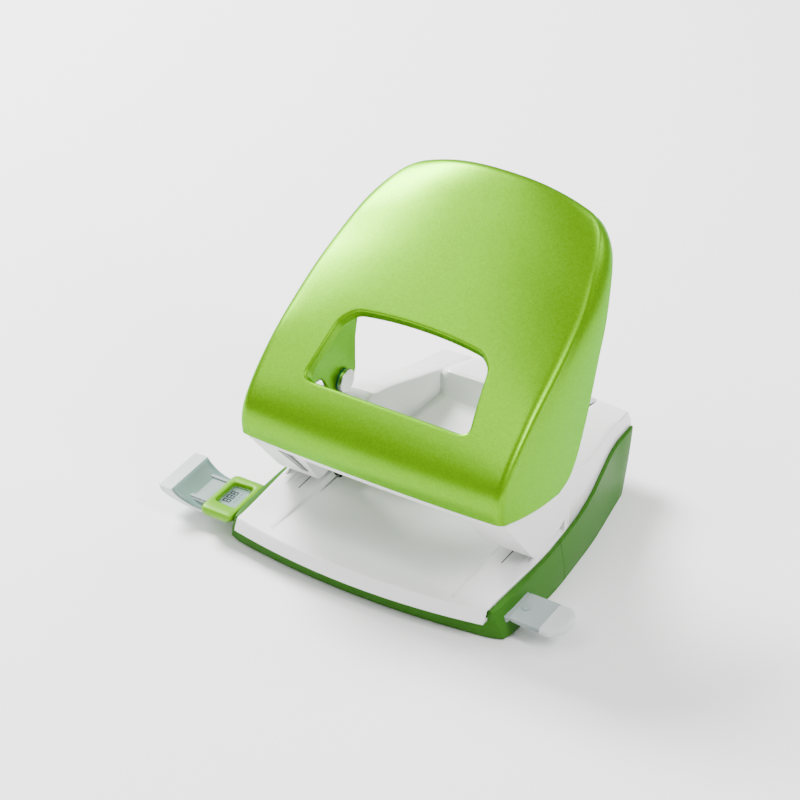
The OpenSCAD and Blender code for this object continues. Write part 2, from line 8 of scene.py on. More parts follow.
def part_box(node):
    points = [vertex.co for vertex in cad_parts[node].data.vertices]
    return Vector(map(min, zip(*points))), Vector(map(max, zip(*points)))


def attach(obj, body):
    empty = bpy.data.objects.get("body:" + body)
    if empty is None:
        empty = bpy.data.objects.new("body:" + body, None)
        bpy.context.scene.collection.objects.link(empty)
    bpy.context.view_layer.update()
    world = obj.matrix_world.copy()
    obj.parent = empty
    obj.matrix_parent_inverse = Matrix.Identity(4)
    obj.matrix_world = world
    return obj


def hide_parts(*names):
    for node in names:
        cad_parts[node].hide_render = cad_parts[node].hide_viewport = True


bl_info = {
    "name": "Desk Punch",
    "version": (1, 0, 0),
    "blender": (4, 5, 0),
    "location": "View3D > Sidebar > Desk Punch",
    "description": "Models the looks of a two-hole desk punch around its mechanical frame",
    "category": "Add Mesh",
}

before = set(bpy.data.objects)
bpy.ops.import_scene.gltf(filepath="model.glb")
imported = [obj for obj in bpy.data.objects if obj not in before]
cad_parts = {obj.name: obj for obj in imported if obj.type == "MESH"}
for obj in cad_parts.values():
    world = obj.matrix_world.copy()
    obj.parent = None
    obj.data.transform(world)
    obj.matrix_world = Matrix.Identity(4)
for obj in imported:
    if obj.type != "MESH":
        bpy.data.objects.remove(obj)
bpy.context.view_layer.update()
MM = 0.001
FRONT_H = 13.5  # height of the paper table at its front edge
SLOPE = math.radians(4)
PUNCH_X, PUNCH_Y = 40.0, 46.0


# ---------------------------------------------------------------- places and meshes

def on_table(x, y, z):
    """A place measured in millimetres on the sloping paper table, in the row frame."""
    return Vector((
        x,
        y * math.cos(SLOPE) - z * math.sin(SLOPE),
        y * math.sin(SLOPE) + z * math.cos(SLOPE) + FRONT_H,
    )) * MM


def shift(x, y, z):
    """A move in millimetres along the axes of the paper table."""
    return on_table(x, y, z) - on_table(0, 0, 0)


def desk_place(x, y, z):
    return Vector((x, y, z)) * MM


def mix(a, b, t):
    return a + (b - a) * t


def smooth(t):
    t = min(1.0, max(0.0, t))
    return t * t * (3 - 2 * t)


def along(table, t):
    """Value at t on a smooth curve through rows of numbers; row i stands at t = i."""
    last = len(table) - 1
    i = min(int(t), last - 1)
    t -= i
    rows = [table[max(0, min(last, i + k))] for k in (-1, 0, 1, 2)]
    return [
        0.5 * (2 * b + (c - a) * t + (2 * a - 5 * b + 4 * c - d) * t * t
               + (3 * b - a - 3 * c + d) * t ** 3)
        for a, b, c, d in zip(*rows)
    ]


def smooth_by_y(table, y):
    """Smooth reading of (y, value) rows."""
    if y <= table[0][0]:
        return table[0][1]
    for i, ((y0, _), (y1, _)) in enumerate(zip(table, table[1:])):
        if y <= y1:
            return along([(v,) for _, v in table], i + (y - y0) / (y1 - y0))[0]
    return table[-1][1]


def rectangle(x0, x1, y0, y1):
    return [(x0, y0), (x1, y0), (x1, y1), (x0, y1)]


def verts_of(geom):
    return [v for v in geom if isinstance(v, bmesh.types.BMVert)]


def follow(bm, edges, start, points):
    """Extrude a chain of edges and put its new points in their places."""
    made = bmesh.ops.extrude_edge_only(bm, edges=edges)["geom"]
    new = set(verts_of(made))
    ring = [next(e.other_vert(v) for e in v.link_edges if e.other_vert(v) in new) for v in start]
    for vert, point in zip(ring, points):
        vert.co = point
    chain = [e for e in made if isinstance(e, bmesh.types.BMEdge)
             and e.verts[0] in new and e.verts[1] in new]
    return ring, chain


def skin(bm, rings, closed=True, caps=(False, False)):
    """A surface through rings of points, each extruded from the one before; gives the rings."""
    ring = [bm.verts.new(p) for p in rings[0]]
    edges = [bm.edges.new(pair)
             for pair in zip(ring, ring[1:] + ring[:1] if closed else ring[1:])]
    if caps[0]:
        bm.faces.new(ring)
    made = [ring]
    for points in rings[1:]:
        ring, edges = follow(bm, edges, ring, points)
        made.append(ring)
    if caps[1]:
        bm.faces.new(ring)
    return made


def prism(bm, outline, sweep):
    """A flat outline extruded along a vector."""
    face = bm.faces.new([bm.verts.new(p) for p in outline])
    made = bmesh.ops.extrude_face_region(bm, geom=[face])["geom"]
    bmesh.ops.translate(bm, vec=sweep, verts=verts_of(made))


def side_prism(bm, outline, x, width):
    """An outline of (y, z) places extruded along x."""
    prism(bm, [on_table(x, y, z) for y, z in outline], shift(width, 0, 0))


def plan_prism(bm, outline, z0, z1):
    """An outline of (x, y) places extruded from z0 to z1."""
    prism(bm, [on_table(x, y, z0) for x, y in outline], on_table(0, 0, z1) - on_table(0, 0, z0))


def rounded(corners, radius, steps=5):
    """A flat outline with its corners rounded; radius is one number or one for each corner."""
    out = []
    n = len(corners)
    for i, corner in enumerate(corners):
        r = radius[i] if isinstance(radius, (list, tuple)) else radius
        p = Vector(corner)
        a = Vector(corners[i - 1]) - p
        b = Vector(corners[(i + 1) % n]) - p
        half = a.angle(b) / 2
        reach = min(r / math.tan(half), a.length * 0.49, b.length * 0.49) if r else 0
        if reach < 1e-4:
            out.append(tuple(p))
            continue
        start, end = p + a.normalized() * reach, p + b.normalized() * reach
        for k in range(steps + 1):
            t = k / steps
            q = start * (1 - t) ** 2 + p * 2 * t * (1 - t) + end * t * t
            out.append(tuple(q))
    return out


def disc(bm, centre, axis, radius, depth, sides=32):
    """A cylinder with its middle at a place and its length along an axis."""
    turn = axis.to_track_quat("Z", "Y").to_matrix().to_4x4()
    bmesh.ops.create_cone(
        bm, cap_ends=True, segments=sides, radius1=radius, radius2=radius, depth=depth,
        matrix=Matrix.Translation(centre) @ turn)


def mirrored(bm):
    """Add the left-hand copy of everything made so far."""
    made = bmesh.ops.duplicate(bm, geom=bm.verts[:] + bm.edges[:] + bm.faces[:])["geom"]
    bmesh.ops.scale(bm, vec=(-1, 1, 1), verts=verts_of(made))
    bmesh.ops.reverse_faces(bm, faces=[f for f in made if isinstance(f, bmesh.types.BMFace)])


def piece(name, bm, body, material, replaces=(), bevel=0.0, wall=0.0, angle=38, weld=True):
    """Finish a mesh as one piece: clean normals, thickness, rounded edges, finish and body."""
    if weld:
        bmesh.ops.remove_doubles(bm, verts=bm.verts[:], dist=0.00002)
    bmesh.ops.recalc_face_normals(bm, faces=bm.faces[:])
    mesh = bpy.data.meshes.new(name)
    bm.to_mesh(mesh)
    bm.free()
    obj = bpy.data.objects.new(name, mesh)
    bpy.context.collection.objects.link(obj)
    mesh.materials.append(material)
    mesh.shade_smooth()
    mesh.set_sharp_from_angle(angle=math.radians(angle))
    if wall:
        solid = obj.modifiers.new("Wall", "SOLIDIFY")
        solid.thickness = wall * MM
        solid.offset = -1
        solid.use_quality_normals = True
        solid.use_even_offset = False
    if bevel:
        edge = obj.modifiers.new("Rounded edges", "BEVEL")
        edge.width = bevel * MM
        edge.segments = 3
        edge.limit_method = "ANGLE"
        edge.angle_limit = math.radians(angle)
        # a bevelled piece keeps no sharp edges, its flat faces carry the shading
        mesh.shade_smooth()
        obj.modifiers.new("Even shading", "WEIGHTED_NORMAL").weight = 80
    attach(obj, body)
    if replaces:
        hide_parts(*replaces)
    return obj


def open_hole(bm, x, y, radius, sides=12):
    """Cut a many-sided hole through a sheet, square to the paper table."""
    centre = on_table(x, y, 0)
    nearby = 16 * MM
    ways = [shift(math.cos(math.tau * k / sides), math.sin(math.tau * k / sides), 0).normalized()
            for k in range(sides)]
    for way in ways:
        near = [f for f in bm.faces if (f.calc_center_median() - centre).length < nearby]
        geom = near + list({e for f in near for e in f.edges})
        geom += list({v for f in near for v in f.verts})
        bmesh.ops.bisect_plane(bm, geom=geom, dist=1e-7, plane_co=centre + way * radius * MM,
                               plane_no=way)
    inside = [f for f in bm.faces
              if max((f.calc_center_median() - centre).dot(way) for way in ways) < radius * MM]
    bmesh.ops.delete(bm, geom=inside, context="FACES")


# ---------------------------------------------------------------- finishes

def node_group(name, sockets):
    """A new shader group with its sockets, its two end nodes and object coordinates."""
    group = bpy.data.node_groups.new(name, "ShaderNodeTree")
    for label, way, kind, value in sockets:
        socket = group.interface.new_socket(label, in_out=way, socket_type="NodeSocket" + kind)
        if value is not None:
            socket.default_value = value
    make = group.nodes.new
    return group, make("NodeGroupInput"), make("NodeGroupOutput"), make("ShaderNodeTexCoord")


def wire(tree, *links):
    """Join sockets, each given as source node, output, target node and input."""
    for source, output, target, socket in links:
        tree.links.new(source.outputs[output], target.inputs[socket])


def grain_group():
    """Fine grain of a moulded or sprayed surface: a mask, a height and a roughness."""
    name = "Fine grain"
    if name in bpy.data.node_groups:
        return bpy.data.node_groups[name]
    group, inside, outside, place = node_group(name, (
        ("Scale", "INPUT", "Float", 900), ("Roughness", "INPUT", "Float", 0.4),
        ("Spread", "INPUT", "Float", 0.08), ("Mask", "OUTPUT", "Float", None),
        ("Height", "OUTPUT", "Float", None), ("Roughness", "OUTPUT", "Float", None)))
    make = group.nodes.new
    fine, broad = make("ShaderNodeTexNoise"), make("ShaderNodeTexNoise")
    fine.inputs["Detail"].default_value = 2.0
    broad.inputs["Scale"].default_value = 35.0
    broad.inputs["Detail"].default_value = 3.0
    centre, spread = make("ShaderNodeMath"), make("ShaderNodeMath")
    centre.operation = "SUBTRACT"
    centre.inputs[1].default_value = 0.5
    spread.operation = "MULTIPLY_ADD"
    wire(group, (place, "Object", fine, "Vector"), (place, "Object", broad, "Vector"),
         (inside, "Scale", fine, "Scale"), (broad, "Fac", centre, 0), (centre, 0, spread, 0),
         (inside, "Spread", spread, 1), (inside, "Roughness", spread, 2),
         (broad, "Fac", outside, "Mask"), (fine, "Fac", outside, "Height"),
         (spread, 0, outside, "Roughness"))
    return group


def tint_group():
    """Two close tones of one colour, mixed by a slow drift over the surface."""
    name = "Tone drift"
    if name in bpy.data.node_groups:
        return bpy.data.node_groups[name]
    group, inside, outside, place = node_group(name, (
        ("Light tone", "INPUT", "Color", None), ("Dark tone", "INPUT", "Color", None),
        ("Scale", "INPUT", "Float", 30), ("Color", "OUTPUT", "Color", None)))
    drift = group.nodes.new("ShaderNodeTexNoise")
    drift.inputs["Detail"].default_value = 4.0
    mixer = group.nodes.new("ShaderNodeMix")
    mixer.data_type = "RGBA"
    wire(group, (place, "Object", drift, "Vector"), (inside, "Scale", drift, "Scale"),
         (drift, "Fac", mixer, "Factor"), (inside, "Dark tone", mixer, "A"),
         (inside, "Light tone", mixer, "B"), (mixer, "Result", outside, "Color"))
    return group


def finish(name, light, dark, roughness, grain=900, bump=0.02, spread=0.08, drift=30,
           metallic=0.0, settings=()):
    """A finish from two tones, a grain and the shader's own constants."""
    if name in bpy.data.materials:
        return bpy.data.materials[name]
    material = bpy.data.materials.new(name)
    material.use_nodes = True
    tree = material.node_tree
    shader = tree.nodes["Principled BSDF"]
    tone, surface = tree.nodes.new("ShaderNodeGroup"), tree.nodes.new("ShaderNodeGroup")
    tone.node_tree = tint_group()
    surface.node_tree = grain_group()
    raised = tree.nodes.new("ShaderNodeBump")
    values = [(tone, "Light tone", (*light, 1.0)), (tone, "Dark tone", (*dark, 1.0)),
              (tone, "Scale", drift), (surface, "Scale", grain),
              (surface, "Roughness", roughness), (surface, "Spread", spread),
              (raised, "Strength", bump), (raised, "Distance", 0.0004),
              (shader, "Metallic", metallic)]
    for node, socket, value in values + [(shader, *setting) for setting in settings]:
        node.inputs[socket].default_value = value
    wire(tree, (tone, "Color", shader, "Base Color"), (surface, "Roughness", shader, "Roughness"),
         (surface, "Height", raised, "Height"), (raised, "Normal", shader, "Normal"))
    return material


def tones(key, light, dark):
    """A lighter and a darker tone of one colour of the panel."""
    base = Vector(getattr(bpy.context.scene.punch_colours, key))
    return tuple(base * light), tuple(base * dark)


def handle_paint():
    """Metallic flake paint under a clear coat."""
    name = "Metallic green paint"
    if name in bpy.data.materials:
        return bpy.data.materials[name]
    material = finish(name, *tones("handle", 1.04, 0.96), 0.36, grain=2600, bump=0.05,
                      spread=0.05, drift=12, metallic=0.8,
                      settings=(("Specular Tint", (0.35, 0.75, 0.08, 1)), ("Coat Weight", 0.06),
                                ("Coat Roughness", 0.1)))
    tree = material.node_tree
    tone = next(x for x in tree.nodes if x.type == "GROUP" and x.node_tree.name == "Tone drift")
    place, flake, split, sparkle, scaled = (
        tree.nodes.new("ShaderNode" + kind)
        for kind in ("TexCoord", "TexVoronoi", "SeparateColor", "MapRange", "VectorMath"))
    flake.inputs["Scale"].default_value = 2600.0
    sparkle.inputs["To Min"].default_value = 0.86
    sparkle.inputs["To Max"].default_value = 1.14
    scaled.operation = "SCALE"
    wire(tree, (place, "Object", flake, "Vector"), (flake, "Color", split, "Color"),
         (split, 0, sparkle, "Value"), (tone, "Color", scaled, 0),
         (sparkle, "Result", scaled, "Scale"),
         (scaled, 0, tree.nodes["Principled BSDF"], "Base Color"))
    return material


def base_green():
    return finish("Satin green plastic", *tones("base", 1.05, 0.95), 0.42, grain=1500, bump=0.05,
                  settings=(("Specular IOR Level", 0.12), ("Specular Tint", (0.4, 0.8, 0.2, 1))))


def bright_green():
    return finish("Bright green plastic", *tones("scale", 1.05, 0.95), 0.36, grain=1500,
                  bump=0.04, settings=(("Specular Tint", (0.5, 0.9, 0.2, 1)),))


def white_plastic():
    return finish("Satin white plastic", *tones("white", 1, 0.97), 0.38, grain=1300, bump=0.035,
                  settings=(("Specular IOR Level", 0.45),))


def guide_plastic():
    return finish("Translucent grey plastic", *tones("guide", 1.06, 0.94), 0.26, grain=700,
                  settings=(("Transmission Weight", 0.25), ("IOR", 1.45), ("Coat Weight", 0.3),
                            ("Coat Roughness", 0.1)))


# painted shade: a dark teal for faces of the guide that lie in shade
def painted_shade_teal():
    return finish("Shaded teal plastic", (0.17, 0.28, 0.26), (0.13, 0.23, 0.21), 0.32, grain=700)


def pale_plastic():
    return finish("Pale grip plastic", (0.60, 0.63, 0.63), (0.54, 0.57, 0.57), 0.34,
                  grain=1000, bump=0.03)


# painted shade: the dark of the slits in the paper table
def painted_slit_shade():
    return finish("Shaded slit", (0.16, 0.17, 0.17), (0.12, 0.13, 0.13), 0.6)


# painted shade: the dark of the recess in a jaw
def painted_recess_shade():
    return finish("Shaded recess", (0.20, 0.22, 0.22), (0.13, 0.145, 0.145), 0.5)


def steel(name, light, dark, roughness, stretch=(1, 1, 14)):
    """Brushed or ground steel: fine lines along one direction over a slow drift."""
    if name in bpy.data.materials:
        return bpy.data.materials[name]
    scale = 420
    material = finish(name, light, dark, roughness, grain=scale, bump=0.03, metallic=1.0)
    tree = material.node_tree
    raised = next(x for x in tree.nodes if x.type == "BUMP")
    place, turn, lines = (tree.nodes.new("ShaderNode" + kind)
                          for kind in ("TexCoord", "Mapping", "TexNoise"))
    turn.inputs["Scale"].default_value = stretch
    lines.inputs["Scale"].default_value = scale
    wire(tree, (place, "Object", turn, "Vector"), (turn, "Vector", lines, "Vector"),
         (lines, "Fac", raised, "Height"))
    return material


def frame_steel():
    return steel("Zinc plated steel", (0.52, 0.54, 0.54), (0.44, 0.46, 0.47), 0.38)


def bright_steel():
    return steel("Ground steel", (0.60, 0.61, 0.61), (0.52, 0.53, 0.54), 0.3, stretch=(14, 1, 1))


def spring_steel():
    return steel("Oiled spring steel", (0.34, 0.35, 0.36), (0.26, 0.27, 0.28), 0.34)


def bronze():
    return steel("Sintered bronze", (0.55, 0.36, 0.17), (0.44, 0.28, 0.12), 0.45)


def teal_ring():
    return finish("Blued pin edge", (0.01, 0.16, 0.18), (0.005, 0.08, 0.10), 0.28, metallic=0.7)


def rubber():
    return finish("Black rubber", (0.035, 0.035, 0.035), (0.02, 0.02, 0.02), 0.75, grain=1100,
                  bump=0.15)


def clear_lens():
    return finish("Clear lens", (0.86, 0.95, 0.94), (0.80, 0.92, 0.91), 0.05, bump=0.0,
                  spread=0.02, settings=(("Transmission Weight", 1.0), ("IOR", 1.3)))


def print_black():
    return finish("Black print", (0.02, 0.02, 0.022), (0.012, 0.012, 0.014), 0.5)


def scale_card():
    return finish("Pale scale field", (0.62, 0.70, 0.70), (0.55, 0.64, 0.65), 0.4)
    return finish("Pale scale field", (0.62, 0.70, 0.70), (0.55, 0.64, 0.65), 0.4)


# ---------------------------------------------------------------- handle

# Each row is the middle (y, z), the crease (x, y, z) and the free edge (x, y, z)
PRESSING = (
    (7.0, 32.5, 56.2, 6.2, 34.4, 59.4, 42, 28),
    (5.0, 39.5, 55.8, 5.0, 41.0, 59.4, 49, 30),
    (6.6, 46.6, 55.7, 6.6, 47.8, 59.2, 53.5, 33.5),
    (12, 54.6, 55.6, 12, 54.9, 58.7, 58, 38.5),
    (20, 63.0, 55.6, 20.7, 62.4, 57.9, 64, 47),
    (31, 72.4, 55.4, 30.9, 69.4, 57.2, 69.5, 57),
    (44, 81.9, 55.0, 43.9, 76.5, 56.4, 75, 67.5),
    (58, 90.5, 54.1, 56.6, 83.3, 55.4, 81, 77),
    (72, 98.6, 52.2, 69.4, 90, 53.6, 87, 86.5),
    (86, 106.4, 48.2, 83.6, 98.6, 50.4, 94.5, 94),
    (97.5, 112.6, 42.6, 97.6, 105.4, 46, 102, 97),
    (104.6, 114.4, 36.2, 105, 107.4, 40, 109, 98),
    (109.4, 106.4, 35.6, 109.8, 100.4, 37.6, 111, 96),
)
CROWN_POWER = 2.4
CREASE_START, CREASE_END = 0.935, 1.09
WINDOW_LOW, WINDOW_HIGH = 3.55, 5.82  # stations of the window's lower and upper edge
WINDOW_HALF_LOW, WINDOW_HALF_HIGH = 36.5, 32.0
WINDOW_LENGTH = 34.0
WINDOW_ROLL = 1.2
EAR_X = 35.1


def pressing_line(row, u):
    """Sharp section of the handle: u runs 0 to 1 over the crown and 1 to 2 down the side."""
    mid_y, mid_z, cx, cy, cz, fx, fy, fz = row
    if u <= 1:
        f = u ** CROWN_POWER
        return Vector((cx * u, mix(mid_y, cy, f), mix(mid_z, cz, f)))
    t = u - 1
    bulge = 1.3 * math.sin(math.pi * min(1, t)) * smooth(t * 4)
    return Vector((mix(cx, fx, t) + bulge, mix(cy, fy, t), mix(cz, fz, t)))


def pressing(s, u):
    """A place on the handle at station s; negative u is the left half. The crease is rounded."""
    row = along(PRESSING, s)
    side, w = (-1, -u) if u < 0 else (1, u)
    if CREASE_START < w < CREASE_END:
        t = (w - CREASE_START) / (CREASE_END - CREASE_START)
        a, b, c = (pressing_line(row, v) for v in (CREASE_START, 1, CREASE_END))
        p = a * (1 - t) ** 2 + b * 2 * t * (1 - t) + c * t * t
    else:
        p = pressing_line(row, w)
    return Vector((p.x * side, p.y, p.z))


def pressing_normal(s, u):
    e = 0.02
    ds = pressing(min(s + e, 12), u) - pressing(max(s - e, 0), u)
    du = pressing(s, u + e) - pressing(s, u - e)
    return du.cross(ds).normalized()


def table_point(p):
    return on_table(p.x, p.y, p.z)


def window_place(a, b):
    """Square coordinates from -1 to 1 to station and crown position on the window's edge."""
    t = (b + 1) / 2
    half = mix(WINDOW_HALF_LOW, WINDOW_HALF_HIGH, t)
    x, d = a * half, t * WINDOW_LENGTH
    radius = 7.2 if b > 0 else 6.0
    cx, cd = half - radius, (WINDOW_LENGTH - radius if b > 0 else radius)
    if abs(x) > cx and (d > cd if b > 0 else d < cd):
        dx, dd = abs(x) - cx, d - cd
        reach = math.hypot(dx, dd) or 1
        x = math.copysign(cx + dx / reach * radius, x)
        d = cd + dd / reach * radius
    d += 1.8 * (1 - (x / half) ** 2) * (d / WINDOW_LENGTH)
    s = mix(WINDOW_LOW, WINDOW_HIGH, d / WINDOW_LENGTH)
    return s, x / along(PRESSING, s)[2]


def window_rim(bm, ring, edges, places):
    """Rolled rim and flange, drawn on from the ring that lies on the window's edge."""
    centre = pressing((WINDOW_LOW + WINDOW_HIGH) / 2, 0)
    rim = [pressing(s, u) for s, u in places]
    normals = [pressing_normal(s, u) for s, u in places]
    inward = []
    for i, p in enumerate(rim):
        run = (rim[(i + 1) % len(rim)] - rim[i - 1]).normalized()
        c = normals[i].cross(run).normalized()
        inward.append(c if c.dot(centre - p) > 0 else -c)
    steps = [(WINDOW_ROLL * math.sin(a), WINDOW_ROLL * (1 - math.cos(a)))
             for a in map(math.radians, (22, 45, 68, 90))]
    steps += [(WINDOW_ROLL + 0.1 * depth, WINDOW_ROLL + depth) for depth in (1.2, 3.0)]
    for away, down in steps:
        ring, edges = follow(bm, edges, ring, [
            table_point(p + c * away - n * down) for p, n, c in zip(rim, normals, inward)])


def handle_shell(bm):
    """Pressed shell: rows of the section, with rings of faces drawn in to the window."""
    rows = ([i * 0.25 for i in range(12)] + [3.0 + i * 3.5 / 22 for i in range(23)]
            + [6.75 + i * 0.25 for i in range(22)])
    inner = 0.86
    across = [-inner + 2 * inner * i / 40 for i in range(41)]
    edge = [0.89, 0.915, 0.935, 0.948, 0.96, 0.972, 0.984, 0.996, 1.008, 1.02, 1.034, 1.05,
            1.07, 1.09, 1.12, 1.18, 1.27, 1.4, 1.54, 1.68, 1.8, 1.9, 2.0]
    columns = [-u for u in reversed(edge)] + across + edge
    grid = skin(bm, [[table_point(pressing(s, u)) for u in columns] for s in rows], closed=False)
    # open the field round the window
    r0, r1 = 12, 34
    c0, c1 = len(edge), len(edge) + 40
    field = {grid[r][c] for r in range(r0, r1 + 1) for c in range(c0, c1 + 1)}
    gone = [f for f in bm.faces if all(v in field for v in f.verts)]
    loop = ([(r0, c) for c in range(c0, c1)] + [(r, c1) for r in range(r0, r1)]
            + [(r1, c) for c in range(c1, c0, -1)] + [(r, c0) for r in range(r1, r0, -1)])
    bmesh.ops.delete(bm, geom=gone, context="FACES")
    ring = [grid[r][c] for r, c in loop]
    edges = [bm.edges.get(pair) for pair in zip(ring, ring[1:] + ring[:1])]
    outer = [(rows[r], columns[c]) for r, c in loop]
    target = [window_place(2 * (c - c0) / (c1 - c0) - 1, 2 * (r - r0) / (r1 - r0) - 1)
              for r, c in loop]
    for t in (0.3, 0.55, 0.75, 0.88, 0.95, 1.0):
        places = [(mix(o[0], w[0], t), mix(o[1], w[1], t)) for o, w in zip(outer, target)]
        ring, edges = follow(bm, edges, ring, [table_point(pressing(s, u)) for s, u in places])
    window_rim(bm, ring, edges, target)


def ear_patch(bm):
    """Broad tab that hangs from the window's side flange and holds the drive pin."""
    arch = [(22.5, 51.5), (26.5, 52.6), (29.5, 52.0), (31.8, 49.6), (33.6, 46.2), (36.0, 42.6),
            (39.5, 39.2), (44.2, 37.2), (48.6, 37.4), (51.8, 39.4), (53.6, 43.2)]
    rear = [(53.7, 46.5), (53.2, 50.5), (52.5, 55), (51.6, 60), (50.8, 65), (50.2, 69.5)]
    bank = [(50.6, 73.5), (47.0, 78.0), (42.0, 76.0), (36.5, 71.8), (30.0, 66.2), (24.0, 60.5)]
    side_prism(bm, [(19.5, 55.0)] + arch + rear + bank, EAR_X, 1.6)
    # the tab leans with the window's side towards its upper end
    for v in bm.verts:
        v.co.x -= smooth((v.co.z / MM - 66) / 24) * 3.4 * MM


class PUNCH_OT_handle(bpy.types.Operator):
    """Pressed handle with its rolled window and the two pin tabs"""

    bl_idname = "punch.handle"
    bl_label = "Handle"

    def execute(self, context):
        bm = bmesh.new()
        handle_shell(bm)
        obj = piece("handle_shell", bm, "lever", handle_paint(),
                    replaces=("handle",), wall=1.4, angle=60, bevel=0.45)
        obj.modifiers["Rounded edges"].angle_limit = math.radians(65)
        bm = bmesh.new()
        ear_patch(bm)
        mirrored(bm)
        piece("handle_tabs", bm, "lever", handle_paint(), bevel=0.5, angle=50)
        return {"FINISHED"}


class PUNCH_OT_drive_pins(bpy.types.Operator):
    """Drive pins with a turned head, a coloured ring under it and a collar"""

    bl_idname = "punch.drive_pins"
    bl_label = "Drive pins"

    def execute(self, context):
        for side, name in ((-1, "left"), (1, "right")):
            lo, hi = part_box(f"drive_pin_{name}")
            centre = (lo + hi) / 2
            radius = (hi.z - lo.z) / 2
            inner = lo.x if side > 0 else hi.x
            axis = Vector((side, 0, 0))
            bm = bmesh.new()
            disc(bm, Vector((inner + side * 0.0009, centre.y, centre.z)), axis, radius, 0.0018, 48)
            disc(bm, centre, axis, 0.003, hi.x - lo.x - 0.002)
            piece(f"drive_pin_head_{name}", bm, "lever", bright_steel(),
                  replaces=(f"drive_pin_{name}",), bevel=0.35, weld=False)
            bm = bmesh.new()
            disc(bm, Vector((inner + side * 0.0021, centre.y, centre.z)), axis,
                 radius - 0.0001, 0.0006, 48)
            piece(f"drive_pin_ring_{name}", bm, "lever", teal_ring(), bevel=0.15)
        return {"FINISHED"}


# ---------------------------------------------------------------- base

RIM = ((0, 56.4), (8, 57.0), (24, 57.3), (35, 57.2), (47, 56.8), (67.5, 55.3), (82, 52.9),
       (97, 49.4), (113, 45.9), (122, 45.0), (131, 44.8))
SOLE = ((4.4, 60.3), (13.5, 60.6), (35, 60.4), (46, 59.8), (63.6, 58), (76.4, 56.5), (91, 54),
        (105, 51.4), (117, 49.4))
RIM_Z = -1.0
SEAM_Y = 50.0
BOW = 5.6      # how far the front edge curves forward in the middle
LIP_Z = -5.2   # where the front wall ends, under the lip of the paper table


def rim_half(y):
    return smooth_by_y(RIM, y)


def sole_half(y):
    return smooth_by_y(SOLE, y)


def plan_loop(half, front, back, bow, radius, sides=26, across=22):
    """Closed plan outline from the front left corner round to the start, as (x, y) places."""
    right = [(half(y), y) for y in (mix(front, back, i / sides) for i in range(sides + 1))]
    steps = [-1 + 2 * i / across for i in range(1, across)]
    outline = [(half(front) * u, front - bow * (1 - u * u)) for u in steps] + right
    outline += [(half(back) * -u, back) for u in steps] + [(-x, y) for x, y in reversed(right)]

    def pull(x, y):
        """Round the four corners by moving near points onto a larger curve."""
        for corner, inner in ((front, 1), (back, -1)):
            cx, cy = half(corner) - radius, corner + inner * radius
            if abs(x) > cx and (y - cy) * inner < 0:
                dx, dy = abs(x) - cx, y - cy
                reach = max(math.hypot(dx, dy), 1e-6)
                if reach > radius:
                    x = math.copysign(cx + dx / reach * radius, x)
                    y = cy + dy / reach * radius
        return x, y
    return [pull(x, y) for x, y in outline]


def base_rings():
    """Outer wall from the sole to the rim, over the rim's ledge and down inside."""
    sole = plan_loop(sole_half, 3.2, 117.5, BOW + 0.4, radius=3)
    rim = plan_loop(rim_half, 0, 131, BOW, radius=1.8)
    low = [desk_place(x, y, 0.4) for x, y in sole]
    top = [on_table(x, y, RIM_Z) for x, y in rim]
    # the sole is rolled in a little, the wall bulges by half a millimetre
    rings = [[desk_place(x * wide, mix(60, y, deep), z) for x, y in sole]
             for wide, deep, z in ((0.94, 0.95, 1.0), (0.965, 0.966, 0.2), (0.99, 0.99, 0.15))]
    for t in (0.0, 0.03, 0.12, 0.3, 0.5, 0.7, 0.88, 0.97, 1.0):
        swell = 1 + 0.006 * math.sin(math.pi * t)
        lift = 0.4 * MM if t == 0 else 0
        rings.append([Vector((mix(a.x, b.x, t) * swell, mix(a.y, b.y, t),
                              mix(a.z, b.z, t) + lift)) for a, b in zip(low, top)])
    ledge = ((0.992, 0.992, 0.12), (0.96, 0.965, 0), (0.925, 0.955, -0.3), (0.925, 0.955, -5.0))
    return rings + [[on_table(x * wide, mix(60, y, deep), RIM_Z + z) for x, y in rim]
                    for wide, deep, z in ledge]


def base_half(front):
    """The part of the base on one side of the seam, with the seam closed inwards."""
    bm = bmesh.new()
    skin(bm, base_rings())
    side = 1 if front else -1
    y = (SEAM_Y - side * 0.12) * MM
    bmesh.ops.bisect_plane(bm, geom=bm.verts[:] + bm.edges[:] + bm.faces[:], dist=1e-6,
                           plane_co=Vector((0, y, 0)), plane_no=Vector((0, side, 0)),
                           clear_outer=True)
    cut = [e for e in bm.edges if e.is_boundary
           and all(abs(v.co.y - y) < 2e-6 for v in e.verts)]
    made = bmesh.ops.extrude_edge_only(bm, edges=cut)["geom"]
    bmesh.ops.scale(bm, vec=(0.96, 1, 1), verts=verts_of(made))
    return bm


def floor_sheet(bm, y0, y1):
    """Flat bottom sheet inside the walls."""
    right = [(sole_half(y) * 0.94, y) for y in (mix(y0, y1, i / 12) for i in range(13))]
    outline = right + [(-x, y) for x, y in reversed(right)]
    prism(bm, [desk_place(x, y, 1.0) for x, y in outline], Vector((0, 0, 1.5 * MM)))


